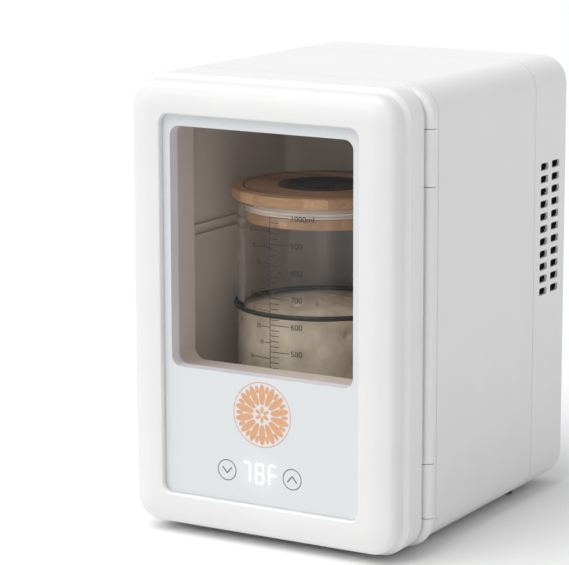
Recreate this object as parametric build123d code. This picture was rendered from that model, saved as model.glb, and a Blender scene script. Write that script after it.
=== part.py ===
"""Sourdough starter warmer: a small thermoelectric cabinet with a hinged glass door and a jar in its chamber.

Millimetres, +Z up. The door looks towards -Y and the object stands on z = 0.
"""
from build123d import *
from math import radians, sin, sqrt
import os

# Overall body
BODY_WIDTH = 177.0
BODY_BOTTOM = 3.3
BODY_TOP = 267.0
CORNER_RADIUS = 18.0
DEPTH = 219.0
DOOR_REAR = 31.2
BODY_FRONT = 33.2
COLLAR_REAR = 48.0
SHELL_REAR = 172.4
SEAM_GAP = 0.4
SHELL_DRAFT = 0.5
COVER_DRAFT = 0.7
COVER_EDGE_RADIUS = 5.0
WALL = 2.5

# Hinge at the right front edge
BEAD_RADIUS = 4.0
BEAD_PROUD = 4.0
HINGE_DEPTH = 37.4
RUN_OUT_RADIUS = 13.0
KNUCKLES = ((22.8, 54.0), (211.5, 243.3))
KNUCKLE_GAP = 0.4
PIN_RADIUS = 1.5
PIN_CLEARANCE = 0.05
PINS = ((18.0, 60.0), (204.0, 248.0))
ARM_INNER = 7.1
ARM_OUTER = 1.8

# Door
FLARE = 2.5
FLARE_START = 13.9
PILLOW_DEPTH = 4.0
PILLOW_WIDTH = 11.0
OPENING_WIDTH = 129.4
OPENING_BOTTOM = 25.0
OPENING_TOP = 245.9
OPENING_RADIUS = 6.0
GLASS_FRONT = 1.6
GLASS_THICK = 2.0
MASK_THICK = 0.3
LEDGE_REAR = 7.0
SPACER_REAR = 11.5
PANE_THICK = 2.0
WINDOW_WIDTH = 119.4
WINDOW_BOTTOM = 100.0
WINDOW_TOP = 239.2
WINDOW_RADIUS = 6.0
LINER_PLATE_FRONT = 28.7
TUNNEL_MARGIN = 2.0
GASKET_OUTER = 157.0
GASKET_INNER = 147.0
GASKET_THICK = 1.6
CONTROLS_HEIGHT = 43.0
CONTROLS_CENTRE = -1.2
KEY_SPACING = 43.2
KEY_PAD_RADIUS = 5.0
DISPLAY_WIDTH = 32.0
DISPLAY_TALL = 20.0
DISPLAY_RISE = 1.0
DISPLAY_BOARD_FRONT = 9.0
SCREW_COLUMN = 70.5
SCREW_HEIGHTS = (32.0, 135.0, 238.0)
BOSS_RADIUS = 3.0
MAGNET_HEIGHTS = (60.0, 210.0)
MAGNET_LENGTH = 40.0

# Chamber
CHAMBER_WIDTH = 139.0
CHAMBER_FLOOR = 22.0
CHAMBER_TOP = 249.0
CHAMBER_REAR = 150.0
CHAMBER_RADIUS = 8.0
LINER_WALL = 1.8
RIB_HEIGHTS = (167.5, 173.5)
RIB_PROUD = 2.0
MODULE_HEIGHT = 140.0

# Finger pull in the left side of the collar
PULL_BOTTOM = 84.0
PULL_TOP = 172.0
PULL_INSET = 7.0
PULL_REAR = 44.5

# Rear compartment
VENT_COLUMNS = (186.1, 201.3)
VENT_ROWS = 11
VENT_TOP_ROW = 202.15
VENT_PITCH = 7.57
VENT_WIDTH = 10.4
VENT_HEIGHT = 4.4
SCREEN_THICK = 1.0
SCREEN_MARGIN = 3.0
FAN_SIZE = 80.0
FAN_DEPTH = 20.0
FAN_BORE = 37.5
FAN_HUB = 15.0
FAN_HOLE_SPACING = 71.5
BLADES = 7
INLET_SIDE = 46.0
INLET_HEIGHT = 42.0
INLET_FRONT = 202.0
COVER_SCREW_SIDE = 66.0
COVER_SCREW_HEIGHTS = (40.0, 232.0)
BOARD_LEFT = -58.0
BOARD_RIGHT = 34.0
BOARD_BOTTOM = 20.0
BOARD_TOP = 84.0
BOARD_FRONT = 173.0
BOARD_THICK = 1.6

# Feet
FOOT_RADIUS = 5.5
FEET = ((60.0, 58.0), (66.0, 179.0))

# Jar
JAR_SIDE = -11.0
JAR_DEPTH = 92.0
JAR_RADIUS = 50.2
JAR_BORE = 46.2
JAR_BASE = 4.0
JAR_RIM = 189.7
STARTER_LEVEL = 125.0
LID_RADIUS = 53.5
LID_BOTTOM = 190.0
LID_TOP = 197.0
PLUG_RADIUS = 44.6
PLUG_BOTTOM = 177.0
SEAL_RADIUS = 45.8
SEAL_BOTTOM = 183.2
INSERT_RADIUS = 26.0
BAND_BOTTOM = 125.4
BAND_WIDTH = 3.0

# Places in the model's frame: the origin is below the middle of the whole object's box
CENTRE_X = -BEAD_PROUD / 2
FRONT_Y = -DEPTH / 2
CENTRE_Z = (BODY_BOTTOM + BODY_TOP) / 2
BODY_HEIGHT = BODY_TOP - BODY_BOTTOM
OPENING_HEIGHT = OPENING_TOP - OPENING_BOTTOM
OPENING_Z = (OPENING_TOP + OPENING_BOTTOM) / 2
WINDOW_HEIGHT = WINDOW_TOP - WINDOW_BOTTOM
WINDOW_Z = (WINDOW_TOP + WINDOW_BOTTOM) / 2
CHAMBER_HEIGHT = CHAMBER_TOP - CHAMBER_FLOOR
CHAMBER_Z = (CHAMBER_TOP + CHAMBER_FLOOR) / 2
SIDE = BODY_WIDTH / 2
HINGE_X = SIDE + BEAD_PROUD - BEAD_RADIUS
SHELL_SHRINK = (SHELL_REAR - COLLAR_REAR) * sin(radians(SHELL_DRAFT))
FAN_REAR = DEPTH - WALL
FAN_FRONT = FAN_REAR - FAN_DEPTH
ROTOR_FRONT = FAN_FRONT + 4.5
ROTOR_REAR = FAN_REAR - 1.5


def place(side, depth, height):
    """Location of a point: sideways from the body's middle, depth behind the door's front, height."""
    return Pos(CENTRE_X + side, FRONT_Y + depth, height)


def slab(width, height, radius, near, far, side=0.0, middle=CENTRE_Z, draft=0.0):
    """Rounded rectangle seen from the front, extruded from one depth to another."""
    plane = Plane(
        origin=(CENTRE_X + side, FRONT_Y + near, middle), x_dir=(-1, 0, 0), z_dir=(0, 1, 0)
    )
    return extrude(plane * RectangleRounded(width, height, radius), amount=far - near, taper=draft)


def outline(inset, near, far, draft=0.0):
    """Slab of the body's own outline, drawn in by an inset."""
    return slab(
        BODY_WIDTH - 2 * inset, BODY_HEIGHT - 2 * inset, CORNER_RADIUS - inset, near, far, draft=draft
    )


def block(left, right, near, far, bottom, top):
    """Plain box between limits."""
    return place((left + right) / 2, (near + far) / 2, (bottom + top) / 2) * Box(
        right - left, far - near, top - bottom
    )


def disc(radius, near, far, side, height):
    """Cylinder along the depth."""
    return place(side, (near + far) / 2, height) * Rot(X=90) * Cylinder(radius, far - near)


def post(radius, bottom, top, side, depth):
    """Upright cylinder."""
    return place(side, depth, (bottom + top) / 2) * Cylinder(radius, top - bottom)


def edges_at(solid, depth):
    """Edges of a solid that lie in one plane across the depth."""
    level = FRONT_Y + depth
    return solid.edges().filter_by_position(Axis.Y, level - 0.01, level + 0.01)


# Door


def bosses(near, far, radius):
    """Screw bosses of the door frame, or the holes round them."""
    return [
        disc(radius, near, far, side, height)
        for side in (-SCREW_COLUMN, SCREW_COLUMN)
        for height in SCREW_HEIGHTS
    ]


def key_sides():
    return [CONTROLS_CENTRE + way * KEY_SPACING / 2 for way in (-1, 1)]


def door_frame():
    pillow = outline(FLARE, 0, FLARE_START + 0.5)
    pillow = chamfer(edges_at(pillow, 0), PILLOW_DEPTH, PILLOW_WIDTH)
    pillow = fillet(edges_at(pillow, PILLOW_DEPTH), 6.0)
    pillow = fillet(edges_at(pillow, 0), 24.0)
    band = outline(0, FLARE_START, DOOR_REAR)
    band = chamfer(edges_at(band, FLARE_START), FLARE - 0.01)
    frame = pillow + band
    frame -= outline(WALL + 0.1, FLARE_START + 2.5, DOOR_REAR + 1)
    frame -= outline(WALL + FLARE, LEDGE_REAR, FLARE_START + 3)
    seat = GLASS_FRONT + GLASS_THICK + MASK_THICK
    opening = slab(OPENING_WIDTH, OPENING_HEIGHT, OPENING_RADIUS, -1, seat, middle=OPENING_Z)
    frame -= opening
    frame = fillet(edges_at(frame, 0).sort_by(Edge.length)[-8:], 1.2)
    frame -= slab(WINDOW_WIDTH, WINDOW_HEIGHT, WINDOW_RADIUS, seat - 1, DOOR_REAR, middle=WINDOW_Z)
    frame -= slab(
        DISPLAY_WIDTH + 0.6, DISPLAY_TALL + 0.6, 0.5, seat - 1, DOOR_REAR,
        side=CONTROLS_CENTRE, middle=CONTROLS_HEIGHT + DISPLAY_RISE,
    )
    for side in key_sides():
        frame -= disc(KEY_PAD_RADIUS + 0.4, seat - 1, DOOR_REAR, side, CONTROLS_HEIGHT)
    for boss in bosses(LEDGE_REAR - 2, LINER_PLATE_FRONT, BOSS_RADIUS):
        frame += boss
    for hole in bosses(LEDGE_REAR + 4, LINER_PLATE_FRONT + 1, 1.2):
        frame -= hole
    return frame


def glass_panel():
    return slab(
        OPENING_WIDTH - 0.4, OPENING_HEIGHT - 0.4, OPENING_RADIUS - 0.2,
        GLASS_FRONT, GLASS_FRONT + GLASS_THICK, middle=OPENING_Z,
    )


def mask_print():
    near = GLASS_FRONT + GLASS_THICK
    mask = slab(
        OPENING_WIDTH - 0.6, OPENING_HEIGHT - 0.6, OPENING_RADIUS - 0.3,
        near, near + MASK_THICK, middle=OPENING_Z,
    )
    return mask - slab(WINDOW_WIDTH, WINDOW_HEIGHT, WINDOW_RADIUS, near - 1, near + 1, middle=WINDOW_Z)


def window_ring(near, far, inside, outside):
    """Frame round the window, its edges given as margins outside the window."""
    ring = slab(
        WINDOW_WIDTH + 2 * outside, WINDOW_HEIGHT + 2 * outside, WINDOW_RADIUS + outside,
        near, far, middle=WINDOW_Z,
    )
    return ring - slab(
        WINDOW_WIDTH + 2 * inside, WINDOW_HEIGHT + 2 * inside, WINDOW_RADIUS + inside,
        near - 1, far + 1, middle=WINDOW_Z,
    )


def inner_pane():
    return slab(
        WINDOW_WIDTH + 8, WINDOW_HEIGHT + 8, WINDOW_RADIUS + 4,
        SPACER_REAR, SPACER_REAR + PANE_THICK, middle=WINDOW_Z,
    )


def door_liner():
    plate = outline(WALL + 0.3, LINER_PLATE_FRONT, DOOR_REAR)
    plate += window_ring(SPACER_REAR + PANE_THICK, LINER_PLATE_FRONT + 1, TUNNEL_MARGIN, TUNNEL_MARGIN + 3)
    plate -= slab(
        WINDOW_WIDTH + 2 * TUNNEL_MARGIN, WINDOW_HEIGHT + 2 * TUNNEL_MARGIN,
        WINDOW_RADIUS + TUNNEL_MARGIN, SPACER_REAR, DOOR_REAR + 1, middle=WINDOW_Z,
    )
    for hole in bosses(LINER_PLATE_FRONT - 1, DOOR_REAR + 1, 1.7):
        plate -= hole
    for height in MAGNET_HEIGHTS:
        half = MAGNET_LENGTH / 2 + 0.2
        plate -= block(-84.0, -80.0, DOOR_REAR - 1.5, DOOR_REAR + 1, height - half, height + half)
    inside = outline(WALL + 0.3, LINER_PLATE_FRONT, HINGE_DEPTH)
    for bottom, top in KNUCKLES:
        left = HINGE_X - ARM_INNER
        plate += block(left, SIDE, LINER_PLATE_FRONT, HINGE_DEPTH, bottom, top) & inside
        plate += block(left, HINGE_X - ARM_OUTER, DOOR_REAR + 0.2, HINGE_DEPTH, bottom, top)
        plate += post(BEAD_RADIUS, bottom, top, HINGE_X, HINGE_DEPTH)
        plate -= post(PIN_RADIUS + PIN_CLEARANCE, bottom - 1, top + 1, HINGE_X, HINGE_DEPTH)
    return plate


def door_insulation():
    near = SPACER_REAR + PANE_THICK + 0.5
    foam = outline(WALL + FLARE + 0.5, near, LINER_PLATE_FRONT - 0.2)
    foam -= slab(
        WINDOW_WIDTH + 2 * TUNNEL_MARGIN + 7, WINDOW_HEIGHT + 2 * TUNNEL_MARGIN + 7,
        WINDOW_RADIUS + TUNNEL_MARGIN + 3.5, near - 1, DOOR_REAR, middle=WINDOW_Z,
    )
    for hole in bosses(near - 1, DOOR_REAR, BOSS_RADIUS + 0.3):
        foam -= hole
    return foam


def door_gasket():
    drop = BODY_WIDTH - GASKET_OUTER
    shrink = BODY_WIDTH - GASKET_INNER
    gasket = slab(
        GASKET_OUTER, BODY_HEIGHT - drop, CORNER_RADIUS - drop / 2, DOOR_REAR, DOOR_REAR + GASKET_THICK
    )
    gasket -= slab(
        GASKET_INNER, BODY_HEIGHT - shrink, CORNER_RADIUS - shrink / 2, DOOR_REAR - 1, DOOR_REAR + 3
    )
    return fillet(edges_at(gasket, DOOR_REAR + GASKET_THICK), 0.6)


def door_magnets():
    return [
        block(
            -83.8, -80.2, DOOR_REAR - 1.5, DOOR_REAR,
            height - MAGNET_LENGTH / 2, height + MAGNET_LENGTH / 2,
        )
        for height in MAGNET_HEIGHTS
    ]


def display_board():
    near, far = DISPLAY_BOARD_FRONT, DISPLAY_BOARD_FRONT + BOARD_THICK
    board = block(-50, 50, near, far, OPENING_BOTTOM + 10, OPENING_BOTTOM + 54)
    for side in (-46, 46):
        board -= disc(1.6, near - 1, far + 1, side, OPENING_BOTTOM + 14)
    return board


def digit_display():
    front = GLASS_FRONT + GLASS_THICK + MASK_THICK + 0.2
    half = DISPLAY_WIDTH / 2
    middle = CONTROLS_HEIGHT + DISPLAY_RISE
    return block(
        CONTROLS_CENTRE - half, CONTROLS_CENTRE + half, front, DISPLAY_BOARD_FRONT,
        middle - DISPLAY_TALL / 2, middle + DISPLAY_TALL / 2,
    )


def touch_pads():
    front = GLASS_FRONT + GLASS_THICK + MASK_THICK
    rear = DISPLAY_BOARD_FRONT
    return [disc(KEY_PAD_RADIUS, front, rear, side, CONTROLS_HEIGHT) for side in key_sides()]


def screw(radius, head_radius, near, far, head, side, height):
    """Screw along the depth, its head at the rear end and cross-slotted."""
    body = disc(radius, near, far, side, height) + disc(head_radius, far, far + head, side, height)
    slot = block(side - head_radius * 0.6, side + head_radius * 0.6, far + head * 0.5, far + head + 1,
                 height - 0.35, height + 0.35)
    cross = block(side - 0.35, side + 0.35, far + head * 0.5, far + head + 1,
                  height - head_radius * 0.6, height + head_radius * 0.6)
    return body - slot - cross


def door_screws():
    return [
        screw(1.1, 2.6, LEDGE_REAR + 6, DOOR_REAR, 1.2, side, height)
        for side in (-SCREW_COLUMN, SCREW_COLUMN)
        for height in SCREW_HEIGHTS
    ]


# Cabinet


def bead(bottom, top):
    """Straight stretch of the rounded bead on the hinge line."""
    return post(BEAD_RADIUS, bottom, top, HINGE_X, HINGE_DEPTH)


def run_out(level, way):
    """Curved end of the bead that sinks into the rounded corner; way is 1 upwards, -1 downwards."""
    profile = place(HINGE_X, HINGE_DEPTH, level) * Circle(BEAD_RADIUS)
    pivot = Axis((CENTRE_X + HINGE_X - RUN_OUT_RADIUS, FRONT_Y + HINGE_DEPTH, level), (0, -way, 0))
    return revolve(profile, pivot, 90)


def front_collar():
    straight_bottom = BODY_BOTTOM + CORNER_RADIUS
    straight_top = BODY_TOP - CORNER_RADIUS
    outer = outline(0, BODY_FRONT, COLLAR_REAR)
    outer = fillet(edges_at(outer, BODY_FRONT), 1.5)
    mouth = slab(
        CHAMBER_WIDTH + 2 * LINER_WALL + 0.4, CHAMBER_HEIGHT + 2 * LINER_WALL + 0.4,
        CHAMBER_RADIUS + LINER_WALL + 0.2, BODY_FRONT - 1, COLLAR_REAR + 1, middle=CHAMBER_Z,
    )
    channel = outline(WALL, BODY_FRONT + WALL, COLLAR_REAR + 1)
    channel -= slab(
        CHAMBER_WIDTH + 2 * LINER_WALL + 4.4, CHAMBER_HEIGHT + 2 * LINER_WALL + 4.4,
        CHAMBER_RADIUS + LINER_WALL + 2.2, BODY_FRONT, COLLAR_REAR + 2, middle=CHAMBER_Z,
    )
    collar = outer - channel
    collar += block(-SIDE + 1, -73, BODY_FRONT + 1, COLLAR_REAR, PULL_BOTTOM - 4, PULL_TOP + 4)
    collar += bead(straight_bottom, straight_top)
    collar += run_out(straight_top, 1) + run_out(straight_bottom, -1)
    for bottom, top in KNUCKLES:
        collar += block(73, SIDE - 1, BODY_FRONT + 1, COLLAR_REAR, bottom - 4, top + 4)
    for bottom, top in KNUCKLES:
        low, high = bottom - KNUCKLE_GAP, top + KNUCKLE_GAP
        left = HINGE_X - ARM_INNER - 0.4
        collar -= block(left, SIDE + 9, BODY_FRONT - 1, HINGE_DEPTH + 0.4, low, high)
        collar -= post(BEAD_RADIUS + 0.4, low, high, HINGE_X, HINGE_DEPTH)
    for bottom, top in PINS:
        collar -= post(PIN_RADIUS, bottom, top, HINGE_X, HINGE_DEPTH)
    pull = block(-SIDE - 5, -SIDE + PULL_INSET, BODY_FRONT - 5, PULL_REAR, PULL_BOTTOM, PULL_TOP)
    collar -= fillet(pull.edges().filter_by(Axis.Z).sort_by(Axis.Y)[-2:].sort_by(Axis.X)[-1:], 4.0)
    for height in MAGNET_HEIGHTS:
        half = MAGNET_LENGTH / 2 + 0.2
        collar -= block(-84.0, -80.0, BODY_FRONT - 1, BODY_FRONT + 1.0, height - half, height + half)
    return collar - mouth


def cabinet_shell():
    near = COLLAR_REAR + SEAM_GAP
    shell = outline(0, near, SHELL_REAR, draft=SHELL_DRAFT)
    shell -= outline(WALL, near - 0.01, SHELL_REAR + 0.01, draft=SHELL_DRAFT)
    return shell


def chamber_liner():
    outer = slab(
        CHAMBER_WIDTH + 2 * LINER_WALL, CHAMBER_HEIGHT + 2 * LINER_WALL, CHAMBER_RADIUS + LINER_WALL,
        BODY_FRONT, CHAMBER_REAR + LINER_WALL, middle=CHAMBER_Z,
    )
    inner = slab(
        CHAMBER_WIDTH, CHAMBER_HEIGHT, CHAMBER_RADIUS, BODY_FRONT - 1, CHAMBER_REAR, middle=CHAMBER_Z
    )
    inner = fillet(edges_at(inner, CHAMBER_REAR), 5.0)
    liner = outer - inner
    for height in RIB_HEIGHTS:
        for way in (-1, 1):
            wall = way * CHAMBER_WIDTH / 2
            rib = block(
                min(wall - way * RIB_PROUD, wall + way), max(wall - way * RIB_PROUD, wall + way),
                BODY_FRONT + 4, CHAMBER_REAR - 6, height - 1.5, height + 1.5,
            )
            liner += rib
    half = 20.3
    bottom, top = MODULE_HEIGHT - half, MODULE_HEIGHT + half
    liner -= block(-half, half, CHAMBER_REAR - 1, CHAMBER_REAR + 3, bottom, top)
    return liner - disc(2.6, CHAMBER_REAR - 1, CHAMBER_REAR + 3, 45, 215)


def insulation_foam():
    near = COLLAR_REAR + 1
    foam = outline(WALL + 0.6, near, 164.8, draft=SHELL_DRAFT)
    foam -= slab(
        CHAMBER_WIDTH + 2 * LINER_WALL + 0.4, CHAMBER_HEIGHT + 2 * LINER_WALL + 0.4,
        CHAMBER_RADIUS + LINER_WALL + 0.2, near - 1, CHAMBER_REAR + LINER_WALL + 0.2, middle=CHAMBER_Z,
    )
    half = 20.3
    foam -= block(-half, half, CHAMBER_REAR, 166, MODULE_HEIGHT - half, MODULE_HEIGHT + half)
    return foam - disc(2.6, CHAMBER_REAR, 166, 45, 215)


def hinge_pins():
    return [post(PIN_RADIUS - 0.01, bottom, top, HINGE_X, HINGE_DEPTH) for bottom, top in PINS]


def catch_plates():
    return [
        block(
            -83.8, -80.2, BODY_FRONT, BODY_FRONT + 1.0,
            height - MAGNET_LENGTH / 2, height + MAGNET_LENGTH / 2,
        )
        for height in MAGNET_HEIGHTS
    ]


def cold_plate():
    plate = slab(80, 100, 6, CHAMBER_REAR - 2, CHAMBER_REAR, middle=MODULE_HEIGHT)
    for side in (-34, 34):
        for rise in (-44, 44):
            plate -= disc(1.6, CHAMBER_REAR - 3, CHAMBER_REAR + 1, side, MODULE_HEIGHT + rise)
    return plate


def transfer_block():
    return block(-20, 20, CHAMBER_REAR, 163.0, MODULE_HEIGHT - 20, MODULE_HEIGHT + 20)


def peltier_module():
    return block(-20, 20, 163.0, 166.8, MODULE_HEIGHT - 20, MODULE_HEIGHT + 20)


def mounting_plate():
    inset = WALL + 0.3 + SHELL_SHRINK
    plate = outline(inset, 165.0, 166.6)
    half = 20.4
    plate -= block(-half, half, 164, 168, MODULE_HEIGHT - half, MODULE_HEIGHT + half)
    return plate - disc(2.7, 164, 168, 45, 215)


def temperature_sensor():
    probe = disc(2.4, CHAMBER_REAR - 9, 168.0, 45, 215)
    return fillet(edges_at(probe, CHAMBER_REAR - 9), 2.0)


def heat_sink():
    base = block(-50, 50, 166.8, 171.8, MODULE_HEIGHT - 50, MODULE_HEIGHT + 50)
    for number in range(15):
        side = -49 + number * 7
        base += block(side - 0.75, side + 0.75, 171, 187, MODULE_HEIGHT - 50, MODULE_HEIGHT + 50)
    return base


# Fan


def fan_frame():
    frame = slab(FAN_SIZE, FAN_SIZE, 5, FAN_FRONT, FAN_REAR, middle=MODULE_HEIGHT)
    frame -= disc(FAN_BORE, FAN_FRONT - 1, FAN_REAR + 1, 0, MODULE_HEIGHT)
    frame += disc(FAN_HUB, FAN_FRONT, FAN_FRONT + 3.5, 0, MODULE_HEIGHT)
    frame += block(-2, 2, FAN_FRONT, FAN_FRONT + 3, MODULE_HEIGHT - 39, MODULE_HEIGHT + 39)
    frame += block(-39, 39, FAN_FRONT, FAN_FRONT + 3, MODULE_HEIGHT - 2, MODULE_HEIGHT + 2)
    frame -= disc(3.5, FAN_FRONT - 1, FAN_REAR, 0, MODULE_HEIGHT)
    for side, height in fan_holes():
        frame -= disc(2.1, FAN_FRONT - 1, FAN_REAR + 1, side, height)
    return frame


def fan_holes():
    half = FAN_HOLE_SPACING / 2
    return [(side, MODULE_HEIGHT + rise) for side in (-half, half) for rise in (-half, half)]


def fan_bearing():
    sleeve = disc(3.5, FAN_FRONT, FAN_FRONT + 12, 0, MODULE_HEIGHT)
    return sleeve - disc(PIN_RADIUS + PIN_CLEARANCE, FAN_FRONT - 1, FAN_REAR, 0, MODULE_HEIGHT)


def fan_stator():
    ring = disc(10.5, FAN_FRONT + 5, FAN_FRONT + 11.5, 0, MODULE_HEIGHT)
    return ring - disc(3.5, FAN_FRONT, FAN_REAR, 0, MODULE_HEIGHT)


def fan_rotor():
    cup = disc(FAN_HUB, ROTOR_FRONT, ROTOR_REAR, 0, MODULE_HEIGHT)
    cup -= disc(FAN_HUB - 2, ROTOR_FRONT - 1, ROTOR_REAR - 2, 0, MODULE_HEIGHT)
    cup += disc(PIN_RADIUS, FAN_FRONT + 2, ROTOR_REAR - 1, 0, MODULE_HEIGHT)
    middle = (ROTOR_FRONT + ROTOR_REAR) / 2
    span = FAN_BORE - 1.5 - (FAN_HUB - 1)
    reach = (FAN_BORE - 1.5 + FAN_HUB - 1) / 2
    for number in range(BLADES):
        blade = Pos(0, 0, reach) * Rot(Z=40) * Box(1.4, 12, span)
        cup += place(0, middle, MODULE_HEIGHT) * Rot(Y=360 * number / BLADES) * blade
    return cup


def fan_screws():
    return [screw(1.9, 3.6, FAN_FRONT + 4, DEPTH - 1.5, 1.4, side, height) for side, height in fan_holes()]


# Rear cover


def vent_cutters():
    cutters = []
    for way in (-1, 1):
        for depth in VENT_COLUMNS:
            for row in range(VENT_ROWS):
                height = VENT_TOP_ROW - row * VENT_PITCH
                hole = place(way * SIDE, depth, height) * Box(16, VENT_WIDTH, VENT_HEIGHT)
                cutters.append(fillet(hole.edges().filter_by(Axis.X), 1.3))
    return cutters


def vent_screens():
    """Sheets of black filter foam that lie behind the side vents."""
    bottom = VENT_TOP_ROW - (VENT_ROWS - 1) * VENT_PITCH - VENT_HEIGHT / 2 - SCREEN_MARGIN
    top = VENT_TOP_ROW + VENT_HEIGHT / 2 + SCREEN_MARGIN
    near = VENT_COLUMNS[0] - VENT_WIDTH / 2 - SCREEN_MARGIN
    far = VENT_COLUMNS[1] + VENT_WIDTH / 2 + SCREEN_MARGIN
    start = SHELL_REAR + SEAM_GAP
    sheet = outline(SHELL_SHRINK + WALL + 0.02, start, DEPTH, draft=COVER_DRAFT)
    sheet -= outline(SHELL_SHRINK + WALL + SCREEN_THICK, start - 0.01, DEPTH, draft=COVER_DRAFT)
    return [sheet & block(left, left + 30, near, far, bottom, top) for left in (-90, 60)]


def grille_slots():
    slots = []
    for row in range(-5, 6):
        rise = row * 6.0
        chord = sqrt(34.0**2 - rise**2)
        for way in (-1, 1):
            slots.append(
                block(
                    min(way * 2, way * chord), max(way * 2, way * chord), DEPTH - WALL - 1, DEPTH + 1,
                    MODULE_HEIGHT + rise - 1.9, MODULE_HEIGHT + rise + 1.9,
                )
            )
    return slots


def cover_screw_places():
    return [
        (side, height) for side in (-COVER_SCREW_SIDE, COVER_SCREW_SIDE) for height in COVER_SCREW_HEIGHTS
    ]


def rear_cover():
    near = SHELL_REAR + SEAM_GAP
    cover = outline(SHELL_SHRINK, near, DEPTH, draft=COVER_DRAFT)
    cover = fillet(edges_at(cover, DEPTH), COVER_EDGE_RADIUS)
    hollow = outline(SHELL_SHRINK + WALL, near - 0.01, DEPTH - WALL, draft=COVER_DRAFT)
    cover -= fillet(edges_at(hollow, DEPTH - WALL), COVER_EDGE_RADIUS - WALL)
    for side, height in cover_screw_places():
        cover += disc(4.0, near, DEPTH - 1.5, side, height)
        cover -= disc(1.3, near - 1, DEPTH - 3, side, height)
        cover -= disc(3.4, DEPTH - 2.2, DEPTH + 1, side, height)
        cover -= disc(1.7, DEPTH - 4, DEPTH, side, height)
    for side, height in fan_holes():
        cover -= disc(2.1, DEPTH - WALL - 1, DEPTH + 1, side, height)
        cover -= disc(3.8, DEPTH - 1.5, DEPTH + 1, side, height)
    cover -= grille_slots()
    cover -= vent_cutters()
    cover -= block(INLET_SIDE - 13, INLET_SIDE + 13, DEPTH - 5, DEPTH + 1, INLET_HEIGHT - 8, INLET_HEIGHT + 8)
    return cover


def rear_cover_screws():
    return [
        screw(1.2, 3.2, DEPTH - 14, DEPTH - 2.2, 1.6, side, height) for side, height in cover_screw_places()
    ]


def ac_inlet():
    near = INLET_FRONT
    left, right = INLET_SIDE - 12.8, INLET_SIDE + 12.8
    body = block(left, right, near, DEPTH - 0.5, INLET_HEIGHT - 7.8, INLET_HEIGHT + 7.8)
    left, right = INLET_SIDE - 4.3, INLET_SIDE + 4.3
    recess = block(left, right, near + 4, DEPTH, INLET_HEIGHT - 4.3, INLET_HEIGHT + 4.3)
    for way in (-1, 1):
        recess += disc(4.3, near + 4, DEPTH, INLET_SIDE + way * 4.3, INLET_HEIGHT)
    body -= recess
    for way in (-1, 1):
        body -= disc(1.2, near - 1, near + 5, INLET_SIDE + way * 4.3, INLET_HEIGHT)
    return body


def inlet_pins():
    tip = DEPTH - 4
    pins = [disc(1.2, INLET_FRONT - 3, tip, INLET_SIDE + way * 4.3, INLET_HEIGHT) for way in (-1, 1)]
    return [fillet(edges_at(pin, tip), 0.8) for pin in pins]


def power_board():
    rear = BOARD_FRONT + BOARD_THICK
    board = block(BOARD_LEFT, BOARD_RIGHT, BOARD_FRONT, rear, BOARD_BOTTOM, BOARD_TOP)
    for side in (BOARD_LEFT + 4, BOARD_RIGHT - 4):
        for height in (BOARD_BOTTOM + 4, BOARD_TOP - 4):
            board -= disc(1.7, BOARD_FRONT - 1, rear + 1, side, height)
    return board


def board_parts():
    near = BOARD_FRONT + BOARD_THICK
    transformer = block(BOARD_LEFT + 10, BOARD_LEFT + 38, near, near + 20, 40, 66)
    cooler = block(BOARD_LEFT + 44, BOARD_LEFT + 47, near, near + 16, 28, 76)
    capacitor = disc(7.0, near, near + 22, BOARD_LEFT + 58, 56)
    small = disc(4.0, near, near + 13, BOARD_LEFT + 72, 42)
    return [transformer, cooler, capacitor, small]


def feet(bodies):
    """Rubber feet, trimmed where they meet the casing above."""
    made = []
    for side, depth in FEET:
        for way in (-1, 1):
            foot = post(FOOT_RADIUS, 0, 8.0, way * side, depth)
            foot = fillet(foot.edges().sort_by(Axis.Z)[:1], 0.8)
            for body in bodies:
                foot -= body
            made.append(foot.solids().sort_by(Axis.Z)[0])
    return made


# Jar


def jar_post(radius, bottom, top):
    return post(radius, bottom, top, JAR_SIDE, JAR_DEPTH)


def jar_glass():
    glass = jar_post(JAR_RADIUS, CHAMBER_FLOOR, JAR_RIM)
    glass = fillet(glass.edges().sort_by(Axis.Z)[:1], 3.0)
    glass = fillet(glass.edges().sort_by(Axis.Z)[-1:], 1.0)
    return glass - jar_post(JAR_BORE, CHAMBER_FLOOR + JAR_BASE, JAR_RIM + 1)


def starter_dough():
    dough = jar_post(JAR_BORE, CHAMBER_FLOOR + JAR_BASE, STARTER_LEVEL)
    return fillet(dough.edges().sort_by(Axis.Z)[-1:], 2.0)


def jar_lid():
    flange = jar_post(LID_RADIUS, LID_BOTTOM, LID_TOP)
    flange = fillet(flange.edges().filter_by(GeomType.CIRCLE), 1.5)
    lid = flange + jar_post(PLUG_RADIUS, PLUG_BOTTOM, LID_BOTTOM + 1)
    groove = jar_post(PLUG_RADIUS + 1, SEAL_BOTTOM, LID_BOTTOM) - jar_post(PLUG_RADIUS - 2, 0, LID_TOP)
    lid -= groove
    return lid - jar_post(INSERT_RADIUS + 0.2, LID_TOP - 4.5, LID_TOP + 1)


def lid_seal():
    ring = jar_post(SEAL_RADIUS, SEAL_BOTTOM, LID_BOTTOM)
    return ring - jar_post(PLUG_RADIUS - 2, SEAL_BOTTOM - 1, LID_BOTTOM + 1)


def lid_insert():
    dish = jar_post(INSERT_RADIUS, LID_TOP - 4.5, LID_TOP + 0.4)
    dish = fillet(dish.edges().sort_by(Axis.Z)[-1:], 0.8)
    ball = 120.0
    hollow = place(JAR_SIDE, JAR_DEPTH, LID_TOP + ball - 2.2) * Sphere(ball)
    return dish - hollow


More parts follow.
